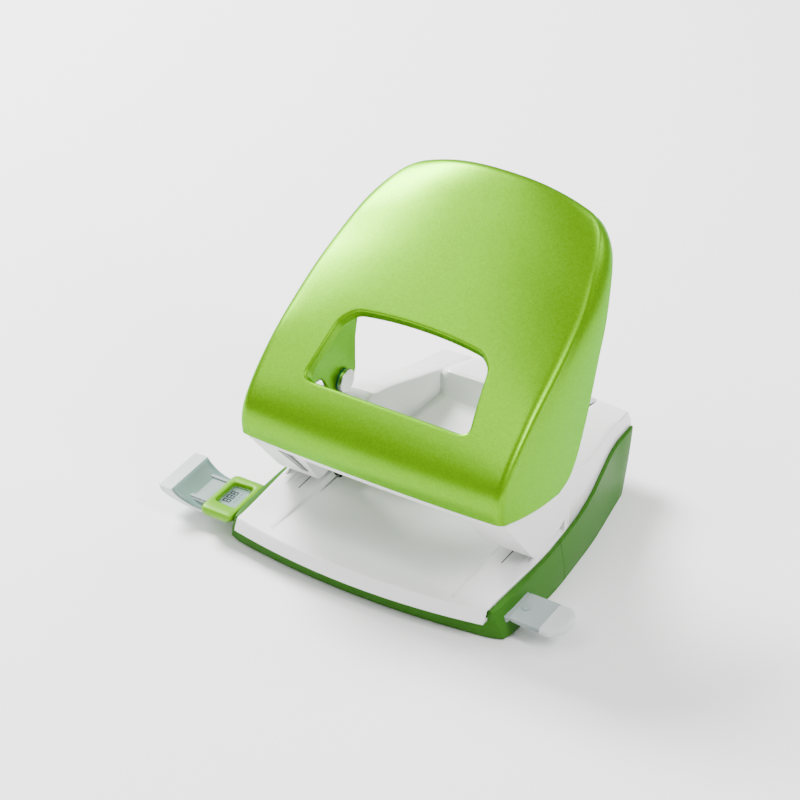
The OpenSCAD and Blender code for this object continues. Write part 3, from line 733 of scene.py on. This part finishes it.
class PUNCH_OT_base(bpy.types.Operator):
    """Green wedge base: front half and chip flap; the pads stay as imported"""

    bl_idname = "punch.base"
    bl_label = "Base"

    def execute(self, context):
        bm = base_half(True)
        floor_sheet(bm, 3.0, SEAM_Y - 0.3)
        # front wall: its upper edge steps down under the lip of the paper table
        for v in bm.verts:
            x, y_desk, z_desk = v.co / MM - Vector((0, 0, FRONT_H))
            y = y_desk * math.cos(SLOPE) + z_desk * math.sin(SLOPE)
            z = z_desk * math.cos(SLOPE) - y_desk * math.sin(SLOPE)
            bow = BOW * max(0.0, 1 - (x / 57) ** 2)
            if abs(x) < 53.6 and y < 4.5 - bow and z > LIP_Z:
                v.co = on_table(x, max(y, 1.3 - bow), LIP_Z)
        piece("base_front_shell", bm, "base", base_green(),
              replaces=("base_front",), angle=42)
        bm = base_half(False)
        floor_sheet(bm, SEAM_Y + 0.3, 112)
        piece("chip_flap_shell", bm, "flap", base_green(),
              replaces=("chip_flap",), angle=42)
        return {"FINISHED"}


# ---------------------------------------------------------------- paper table

def table_half(y):
    return min(54.0 + 1.4 * smooth(y / 40), rim_half(y) - 1.6)


class PUNCH_OT_paper_table(bpy.types.Operator):
    """White paper table: rolled front lip, lowered middle, thin guide ridges"""

    bl_idname = "punch.paper_table"
    bl_label = "Paper table"

    def execute(self, context):
        bm = bmesh.new()
        rows = [0.15] + [0.6 + 57.3 * (i / 30) ** 1.1 for i in range(31)]

        def columns(y):
            """Half row of (x, depth) places: the lowered middle, its slanted side, the shelf."""
            t = min(1, max(0, (y - 2.4) / 55.6))
            drop = 4.2 * t ** 1.15
            low, high = 39.0 - 2.4 * t, 39.0 + 0.4 * t
            edge = table_half(y)
            skirt = smooth(y / 4)
            out = [(low * f, -drop) for f in (0, 0.2, 0.4, 0.6, 0.78, 0.9, 0.97, 1.0)]
            out += [(mix(low, high, f), mix(-drop, 0, smooth(f))) for f in (0.25, 0.5, 0.75, 1.0)]
            out += [(mix(high, edge, f), 0) for f in (0.15, 0.5, 0.85, 0.97)]
            return out + [(edge - 0.1, -0.15 * skirt), (edge, -1.9 * skirt)]

        def row_points(y, rise=0.0, forward=0.0):
            half = columns(y)
            points = []
            for x, z in [(-x, z) for x, z in reversed(half[1:])] + half:
                bow = BOW * (1 - (x / 54.0) ** 2) * max(0.0, 1 - y / 30.0)
                points.append(on_table(x, y - bow - forward, z + rise))
            return points

        lip = ((-4.9, -1.0), (-4.9, 2.3), (-4.7, 2.75), (-3.2, 2.2), (-1.4, 1.2), (-0.6, 0.75),
               (-0.2, 0.35))
        skin(bm, [row_points(0.0, z, forward) for z, forward in lip]
             + [row_points(y) for y in rows], closed=False)
        for side in (-1, 1):
            open_hole(bm, side * PUNCH_X, PUNCH_Y, 3.4)
        piece("paper_table_top", bm, "base", white_plastic(),
              replaces=("paper_table",), wall=1.5, angle=40)
        bm = bmesh.new()
        for x0, x1, y0, y1, height in ((50.1, 50.9, 25.8, 57, 0.7), (47.6, 48.1, 30, 57, 0.5)):
            side_prism(bm, [(y0, 0.02), (y1, 0.02), (y1, height)], x0, x1 - x0)
        # rounded rib beside the end of the slot
        rib = [(31, -0.4), (34, 1.3), (50, 1.9), (54.5, 1.8), (55.5, -0.4)]
        side_prism(bm, rounded(rib, [0, 3, 3, 1.5, 0], 4), 53.1, 1.3)
        mirrored(bm)
        piece("paper_table_ridges", bm, "base", white_plastic(), bevel=0.25,
              angle=30)
        # painted shade: dark strips laid on the table where the slits for the guides of the sheet
        # run under the jaws
        bm = bmesh.new()
        slit = ((44.2, 27), (44.75, 27), (44.9, 57), (44.3, 57))
        prism(bm, [on_table(x, y, 0.03) for x, y in slit], shift(0, 0, 0.02))
        mirrored(bm)
        piece("paper_table_slit_shade", bm, "base", painted_slit_shade())
        return {"FINISHED"}


# ---------------------------------------------------------------- housing

# each row of an edge of the arms is y, x and z
CREASE = ((57, 54.6, 27.5), (63, 54.0, 24.9), (74, 52.6, 19.0), (86, 50.6, 14.8),
          (100, 47.8, 11.3), (116, 44.6, 8.1), (131, 42.0, 5.7))
INNER = ((57, 32.4, 28.6), (63, 32.0, 26.9), (97, 30.2, 16.5), (131, 28.5, 6.4))


def reading(rows, y, k):
    return smooth_by_y([(row[0], row[k]) for row in rows], y)


def arm_section(y, drop=0.0):
    """Half section of an arm: outer wall, crease, crowned top, inner edge, inner wall."""
    xo = rim_half(y) - 1.5
    xc, zc = reading(CREASE, y, 1), reading(CREASE, y, 2)
    xi, zi = reading(INNER, y, 1), reading(INNER, y, 2)
    xc = min(xc, xo - 0.3)
    out = [(xo, RIM_Z + 0.2), (mix(xo, xc, 0.3), mix(RIM_Z, zc, 0.4)),
           (mix(xo, xc, 0.8), mix(RIM_Z, zc, 0.8) - drop), (xc + 0.05, zc - 0.55 - drop),
           (xc - 0.5, zc - drop)]
    out += [(mix(xc - 0.5, xi + 0.9, t), mix(zc, zi, 1 - (1 - t) ** 1.35) - drop)
            for t in (0.12, 0.3, 0.5, 0.7, 0.88)]
    out += [(xi + 0.9, zi - drop), (xi + 0.35, zi - 0.25 - drop), (xi, zi - 1.0 - drop),
            (xi - 0.15, mix(1.6, zi, 0.4) - drop * 0.5), (xi - 0.3, 1.4)]
    return [on_table(x, y, z) for x, z in out]


class PUNCH_OT_housing(bpy.types.Operator):
    """White housing: two jaws over the paper, two crowned arms, the well between them"""

    bl_idname = "punch.housing"
    bl_label = "Housing"

    def arms(self):
        bm = bmesh.new()
        ys = [57.6, 58.0, 59, 61, 64, 68] + [72 + i * 5 for i in range(12)] + [129.5, 130.4, 130.8]
        # the top falls away at the front under the handle and a little at the tail
        rings = [arm_section(y, max(0.0, 60 - y) * 1.6 + max(0.0, y - 129) ** 2 * 0.35)
                 for y in ys]
        end = rings[-1]
        floor = on_table(0, 130.8, RIM_Z + 0.2).z
        rings.append([Vector((p.x, p.y, max(floor, p.z - 3 * MM))) for p in end])
        rings.append([Vector((p.x, p.y, floor)) for p in end])
        skin(bm, rings, closed=False)
        mirrored(bm)
        piece("housing_arms", bm, "base", white_plastic(), replaces=("housing",),
              wall=1.2, angle=34)

    def well(self):
        bm = bmesh.new()
        rows = [(58.9, 12), (59.0, 6), (59.6, 3.2), (61.5, 1.9), (64, 1.6), (85, 1.6), (103.6, 1.6),
                (105.2, 2.0), (106.2, 3.2), (106.6, 5), (106.9, 11.4), (107.5, 12.9),
                (108.9, 13.5), (112, 12.6), (124, 8.8), (129.2, 7.1), (130.3, 6.5), (130.9, 5.2),
                (130.9, RIM_Z + 0.2)]
        rings = []
        for y, z in rows:
            half = reading(INNER, max(60, y), 1) - (0.05 if y < 107.2 else 0.45)
            points = []
            for x in [half * k / 8 for k in range(-8, 9)]:
                lift = 0
                side = smooth((abs(x) / half - 0.9) * 10)
                if 2.5 > z > 1 and y < 106:
                    lift = side * 0.9
                elif y > 107.2:
                    lift = -side * 0.5 + 0.5 * (1 - (x / half) ** 2)
                points.append(on_table(x, y, z + lift))
            rings.append(points)
        skin(bm, rings, closed=False)
        piece("housing_well", bm, "base", white_plastic(),
              replaces=("rear_cover",), wall=1.2, angle=34)

    def jaws(self):
        """Side walls, lead-in faces and soles of the two jaws."""
        bm = bmesh.new()
        # outer side wall, from the front edge strip back to the arm
        wall = [(10.4, 30.6), (30.2, 5.0), (31.6, 3.9), (36.8, 2.9), (39, 3.3), (51.1, 3.6),
                (55.9, 5.4), (56.4, 5.0), (56.4, -0.8), (60.5, -0.8), (60.5, 25.9), (40, 33),
                (20, 35)]
        prism(bm, [on_table(rim_half(y) - 1.5, y, z) for y, z in wall], Vector((-2.4 * MM, 0, 0)))
        # lead-in face and sole, drawn in as one block with a slanted inner end
        block = [(10.9, 30.4), (28.9, 6.0), (31.0, 5.2), (40.5, 5.2), (40.5, 9.5), (34, 9.5),
                 (15.5, 30.4)]
        outline = [on_table(53.6, y, z) for y, z in block]
        inner = [on_table(mix(36.8, 33.2, smooth((z - 5.2) / 25)), y, z) for y, z in block]
        skin(bm, [outline, inner], caps=(True, True))
        plan_prism(bm, rectangle(45.2, 53.6, 40.2, 57.6), 5.2, 9.5)
        mirrored(bm)
        piece("housing_jaws", bm, "base", white_plastic(), bevel=0.5, angle=30)
        # painted shade: a dark plate on the lead-in face of the left jaw, where its recess lies in
        # shade
        bm = bmesh.new()
        a, b = on_table(43.5, 12.6, 27.0), on_table(41.0, 24.2, 12.0)
        across = Vector((1, 0, 0))
        out = across.cross((b - a).normalized()).normalized()
        corners = [a, a - across * 3.6 * MM, b - across * 2.88 * MM, b]
        prism(bm, [p - out * 0.25 * MM for p in corners], out * 0.6 * MM)
        bmesh.ops.scale(bm, vec=(-1, 1, 1), verts=bm.verts[:])
        piece("housing_recess_shade", bm, "base", painted_recess_shade())

    def lip(self):
        """Thin white strip that shows under the lower edge of the handle."""
        bm = bmesh.new()
        rows = ((8.6, 31.9), (9.6, 28.9), (10.4, 28.1), (12.6, 28.4), (12.4, 31.9))
        rings = []
        for i in range(25):
            u = -1 + 2 * i / 24
            bend = abs(u) ** 2.6
            rings.append([on_table(55.4 * u, y + 1.5 * bend, z + 0.3 * bend) for y, z in rows])
        skin(bm, rings, caps=(True, True))
        piece("housing_lip", bm, "base", white_plastic(), bevel=0.35, angle=30)

    def execute(self, context):
        self.arms()
        self.well()
        self.jaws()
        self.lip()
        return {"FINISHED"}


# ---------------------------------------------------------------- paper guide

BAR_Y, BAR_W, BAR_TOP, BAR_T = 5.5, 17.0, -4.6, 2.4


def block_digit(bm, origin, up, right, normal):
    """One generic block digit, raised a hair over the card."""
    height, width, stroke = 0.0032, 0.0020, 0.00045
    for x, y, w, h in ((0, 0, width, stroke), (0, height / 2 - stroke / 2, width, stroke),
                       (0, height - stroke, width, stroke), (0, 0, stroke, height),
                       (width - stroke, 0, stroke, height)):
        p = origin + right * x + up * y
        prism(bm, [p, p + right * w, p + right * w + up * h, p + up * h], normal * 0.00008)


def resample(outline, count):
    """The same closed outline with evenly spaced places."""
    points = [Vector(p) for p in outline]
    lengths = [(b - a).length for a, b in zip(points, points[1:] + points[:1])]
    total = sum(lengths)
    out = []
    i, passed = 0, 0.0
    for k in range(count):
        want = total * k / count
        while passed + lengths[i] < want and i < len(points) - 1:
            passed += lengths[i]
            i += 1
        p = points[i].lerp(points[(i + 1) % len(points)], (want - passed) / lengths[i])
        out.append((p.x, p.y))
    return out


def inset(outline, amount):
    """The outline moved towards its middle by the same step along x and along y."""
    cx = sum(p[0] for p in outline) / len(outline)
    cy = sum(p[1] for p in outline) / len(outline)
    out = []
    for x, y in outline:
        v = Vector((x - cx, y - cy))
        out.append((x - v.x / abs(v.x or 1) * min(amount, abs(v.x)),
                    y - v.y / abs(v.y or 1) * min(amount, abs(v.y))))
    return out


class PUNCH_OT_scale(bpy.types.Operator):
    """Green frame of the scale, its lens and the printed numbers"""

    bl_idname = "punch.scale"
    bl_label = "Scale frame"

    def execute(self, context):
        x_in, x_out = -56.8, -71.0
        top, low = -1.0, -7.4
        card = top - 2.4
        # both outlines get the same number of places, so that rings join one to one
        hole = resample(rounded([(x_out + 2.6, 5.4), (x_in - 2.3, 4.9), (x_in - 2.6, 19.2),
                                 (x_out + 2.9, 18.6)], 1.2, 4), 64)
        edge = resample(rounded(rectangle(x_out, x_in, -1.2, 23.2), [2.2, 0, 0, 2.2], 4), 64)

        def lean(x, z):
            """Inner side of the frame follows the lean of the wall."""
            return x - max(0.0, top - z) * 0.29 * smooth((x - x_out) / 12)

        def ring(outline, z):
            start = 4.5 if z < -4 else -1.0
            return [on_table(lean(x, z), y, z + 0.45 * max(0.0, start - y)) for x, y in outline]

        bm = bmesh.new()
        levels = ((edge, 1.8, low), (edge, 0.5, low + 0.5), (edge, 0, low + 1.6),
                  (edge, 0, top - 1.6), (edge, 0.1, top - 0.8), (edge, 0.4, top - 0.2),
                  (edge, 1.0, top), (hole, -0.5, top), (hole, -0.15, top - 0.2),
                  (hole, 0, top - 0.5), (hole, 0.2, top - 2.2), (hole, 0.2, top - 2.7))
        skin(bm, [ring(inset(outline, amount), z) for outline, amount, z in levels],
             caps=(True, False))
        piece("scale_frame_shell", bm, "base", bright_green(),
              replaces=("scale_frame",), angle=50)
        bm = bmesh.new()
        plan_prism(bm, inset(hole, 0.2), top - 1.9, top - 1.6)
        piece("scale_lens_pane", bm, "base", clear_lens(), replaces=("scale_lens",))
        bm = bmesh.new()
        plan_prism(bm, inset(hole, 0.1), card - 0.25, card)
        piece("scale_card", bm, "base", scale_card())
        bm = bmesh.new()
        axes = [shift(*way).normalized() for way in ((-1, 0, 0), (0, 1, 0), (0, 0, 1))]
        for i in range(3):
            block_digit(bm, on_table(-64.2, 8.8 + i * 2.6, card + 0.05), *axes)
        for i in range(4):
            y = 10.0 + i * 1.7
            plan_prism(bm, rectangle(-62.9, -62.9 + 0.4, y, y + 0.4), card + 0.04, card + 0.12)
        piece("scale_numbers", bm, "base", print_black(), weld=False)
        return {"FINISHED"}


class PUNCH_OT_guide(bpy.types.Operator):
    """Sliding paper guide: bar, flared end and the grip at its right end"""

    bl_idname = "punch.guide"
    bl_label = "Paper guide"

    def bar(self):
        bm = bmesh.new()
        back = BAR_Y + BAR_W
        plan_prism(bm, rounded(rectangle(-90.5, 59.5, BAR_Y, back), 0.8, 3), BAR_TOP - BAR_T,
                   BAR_TOP)
        for y0, y1 in ((BAR_Y + 0.6, BAR_Y + 2.2), (back - 2.2, back - 0.6)):
            plan_prism(bm, rectangle(-89, -68, y0, y1), BAR_TOP - 0.1, BAR_TOP + 0.7)
        piece("guide_bar_shell", bm, "guide", guide_plastic(),
              replaces=("guide_bar",), bevel=0.3, angle=30)

    def end(self):
        """Scooped end: a crescent with a broad flat top and a darker inner face in painted shade.
        """
        inner = ((-85.2, 0.25), (-84.2, -1.0), (-83.0, -2.2), (-81.4, -3.5), (-79.4, -4.7),
                 (-77.2, -5.6), (-74.6, -6.1), (-71.2, -6.3))
        outer = ((-71.2, -7.3), (-76.5, -7.3), (-81.0, -6.9), (-84.8, -5.9), (-87.6, -4.2),
                 (-89.6, -2.0), (-90.8, 0.25))
        bm = bmesh.new()
        rings = []
        # the flat top is narrower at its two ends, and the front leans back as it goes down
        for y, tuck in ((0.6, 0.1225), (1.2, 0.0), (24.6, 0.0), (25.2, 0.1225)):
            rings.append([on_table(x + (tuck if z > 0 else 0),
                                   mix(y, 3.0, smooth((-z - 1) / 7) if y < 5 else 0), z)
                          for x, z in inner + outer])
        skin(bm, rings, caps=(True, True))
        piece("guide_end_block", bm, "guide", pale_plastic(),
              replaces=("guide_stop",), bevel=0.45, angle=40)
        # the inner face: a thin teal sheet in painted shade, laid over the block
        bm = bmesh.new()
        lift = 0.07
        rings = []
        for x, z in inner:
            front = mix(1.0, 3.2, smooth((-z - 1) / 7))
            rings.append([on_table(x + lift, mix(front, 24.8, k / 10), z + lift)
                          for k in range(11)])
        skin(bm, rings, closed=False)
        piece("guide_end_face", bm, "guide", painted_shade_teal(), wall=0.05, angle=50)

    def grip(self):
        """Plate folded over at its root, with a dimple, a side slit and a thick rounded tip."""
        y0, y1 = BAR_Y + 0.2, BAR_Y + BAR_W - 0.2
        top = BAR_TOP + 0.25
        upper = ((59.6, -1.5), (59.2, -0.7), (59.5, -0.15), (60.4, 0), (72.5, 0), (72.6, -1.1),
                 (62.5, -1.2))
        lower = ((59.6, -1.25), (62, -1.35), (72, -1.6), (72, -2.5), (64, -2.5), (61, -2.3))
        bm = bmesh.new()
        for profile, margin in ((upper, 0.0), (lower, 0.5)):
            prism(bm, [on_table(x, y0 + margin, top + z) for x, z in profile],
                  shift(0, y1 - y0 - 2 * margin, 0))
        piece("guide_grip_plate", bm, "guide", guide_plastic(),
              replaces=("guide_latch", "latch_rivet"), bevel=0.3, angle=28)
        bm = bmesh.new()
        tip = rounded([(72.4, y0 - 0.2), (76.4, y0 - 0.2), (80.9, y0 + 4.0), (81.4, y0 + 8.5),
                       (80.4, y1 - 3.2), (77.0, y1 + 0.2), (72.4, y1 + 0.2)],
                      [0.6, 3, 5, 6, 4, 2, 0.6], 5)
        middle = (y0 + y1) / 2
        levels = ((0.08, -2.5), (0.02, -2.3), (0.0, -1.6), (0.0, -0.5), (0.17, 0.15), (0.2, 0.18))
        skin(bm, [[on_table(mix(x, 73.0, a), mix(y, middle, a), top + z) for x, y in tip]
                  for a, z in levels], caps=(True, True))
        piece("guide_grip_tip", bm, "guide", pale_plastic(), angle=30, bevel=0.2)
        # pressed dimple: a low ring in painted shade round a shallow button
        up = shift(0, 0, 1).normalized()
        bm = bmesh.new()
        disc(bm, on_table(62.6, BAR_Y + 8.2, top + 0.02), up, 0.0017, 0.0003, 40)
        piece("guide_grip_dimple", bm, "guide", painted_shade_teal(), bevel=0.12)
        bm = bmesh.new()
        disc(bm, on_table(62.75, BAR_Y + 8.1, top + 0.06), up, 0.00135, 0.0004, 40)
        piece("guide_grip_button", bm, "guide", guide_plastic(), bevel=0.12)

    def execute(self, context):
        self.bar()
        self.end()
        self.grip()
        return {"FINISHED"}


# ---------------------------------------------------------------- steel inside

class PUNCH_OT_mechanism(bpy.types.Operator):
    """Finishes of the steel pieces and pads that keep their mechanical shape"""

    bl_idname = "punch.mechanism"
    bl_label = "Mechanism"

    def execute(self, context):
        finishes = {
            bright_steel: ("flap_pins", "axle_left", "axle_right", "frame_screws", "punch_left",
                           "punch_right", "pin_collars"),
            frame_steel: ("paper_stop", "base_plate", "punch_frame_left", "punch_frame_right",
                          "hinge_lug_left", "hinge_lug_right"),
            spring_steel: ("axle_clips", "punch_clip_left", "punch_clip_right", "spring_left",
                           "spring_right", "detent_spring"),
            rubber: ("front_pad", "rear_pads"),
            bronze: ("guide_bushes",),
        }
        for make, names in finishes.items():
            for name in names:
                obj = bpy.data.objects.get(name)
                if obj is None:
                    raise RuntimeError(f"the frame has no node {name}")
                if not obj.material_slots:
                    obj.data.materials.append(make())
                for slot in obj.material_slots:
                    slot.material = make()
        return {"FINISHED"}


# ---------------------------------------------------------------- stage

LIGHT_TARGET = Vector((0.0, 0.06, 0.05))
LIGHTS = (
    # name, place, width, height, power
    ("key", (-0.95, 0.4, 0.9), 0.5, 0.5, 56),
    ("rear", (0.5, 1.0, 1.0), 0.7, 0.7, 8),
    ("right", (0.75, -0.12, 0.72), 0.14, 0.5, 8),
    ("fill", (-0.42, -0.55, 1.05), 0.9, 0.9, 8),
)
WORLD_STRENGTH = 0.58
CAMERA_PLACE = (487.6, -765.8, 706.7)
CAMERA_AXES = ((0.8521, 0.5233, 0.0), (-0.2995, 0.4877, 0.8199), (0.4291, -0.6987, 0.5724))
CAMERA_LENS = 140.48


class PUNCH_OT_stage(bpy.types.Operator):
    """Pale floor, soft studio lights and the camera"""

    bl_idname = "punch.stage"
    bl_label = "Stage"

    def execute(self, context):
        bm = bmesh.new()
        bmesh.ops.create_grid(bm, x_segments=1, y_segments=1, size=6.0)
        mesh = bpy.data.meshes.new("floor")
        bm.to_mesh(mesh)
        bm.free()
        floor = bpy.data.objects.new("floor", mesh)
        bpy.context.collection.objects.link(floor)
        mesh.materials.append(finish("Pale floor", (0.93, 0.93, 0.93), (0.92, 0.92, 0.92), 0.7,
                                     grain=60, bump=0.0))
        world = context.scene.world or bpy.data.worlds.new("Studio")
        context.scene.world = world
        world.use_nodes = True
        background = world.node_tree.nodes.get("Background")
        background.inputs["Color"].default_value = (1.0, 1.0, 1.0, 1.0)
        background.inputs["Strength"].default_value = WORLD_STRENGTH
        for name, place, width, height, power in LIGHTS:
            light = bpy.data.lights.new(name, "AREA")
            light.shape = "RECTANGLE"
            light.size, light.size_y = width, height
            light.energy = power
            obj = bpy.data.objects.new(name, light)
            obj.location = place
            obj.rotation_euler = (LIGHT_TARGET - Vector(place)).to_track_quat("-Z", "Y").to_euler()
            bpy.context.collection.objects.link(obj)
        camera = bpy.data.objects.new("camera", bpy.data.cameras.new("camera"))
        axes = Matrix([Vector(axis) for axis in CAMERA_AXES]).transposed().to_4x4()
        camera.matrix_world = (Matrix.Translation(on_table(*CAMERA_PLACE))
                               @ Matrix.Rotation(SLOPE, 4, "X") @ axes)
        camera.data.lens = CAMERA_LENS
        camera.data.sensor_width = 36.0
        bpy.context.collection.objects.link(camera)
        context.scene.camera = camera
        return {"FINISHED"}


# ---------------------------------------------------------------- settings and panel

def colour_setting(name, what, default):
    return bpy.props.FloatVectorProperty(
        name=name, description=f"Colour of the {what}", subtype="COLOR", size=3, min=0, max=1,
        default=default)


class PunchColours(bpy.types.PropertyGroup):
    handle: colour_setting("Handle", "metallic paint on the handle", (0.135, 0.37, 0.0))
    base: colour_setting("Base", "moulded base", (0.034, 0.13, 0.012))
    scale: colour_setting("Scale frame", "frame beside the table", (0.12, 0.34, 0.001))
    white: colour_setting("Housing", "housing and the paper table", (0.82, 0.83, 0.82))
    guide: colour_setting("Guide", "paper guide", (0.36, 0.44, 0.43))


OPERATORS = (
    PUNCH_OT_handle, PUNCH_OT_drive_pins, PUNCH_OT_base, PUNCH_OT_paper_table,
    PUNCH_OT_housing, PUNCH_OT_scale, PUNCH_OT_guide, PUNCH_OT_mechanism, PUNCH_OT_stage,
)


class PUNCH_PT_panel(bpy.types.Panel):
    bl_idname = "PUNCH_PT_panel"
    bl_label = "Desk Punch"
    bl_space_type = "VIEW_3D"
    bl_region_type = "UI"
    bl_category = "Desk Punch"

    def draw(self, context):
        colours = context.scene.punch_colours
        for key in ("handle", "base", "scale", "white", "guide"):
            self.layout.prop(colours, key)
        for operator in OPERATORS:
            self.layout.operator(operator.bl_idname)


CLASSES = (PunchColours, *OPERATORS, PUNCH_PT_panel)


def register():
    for cls in CLASSES:
        bpy.utils.register_class(cls)
    bpy.types.Scene.punch_colours = bpy.props.PointerProperty(type=PunchColours)


def unregister():
    del bpy.types.Scene.punch_colours
    for cls in reversed(CLASSES):
        bpy.utils.unregister_class(cls)


def main():
    register()
    for operator in OPERATORS:
        group, action = operator.bl_idname.split(".")
        getattr(getattr(bpy.ops, group), action)()


if __name__ == "__main__":
    main()
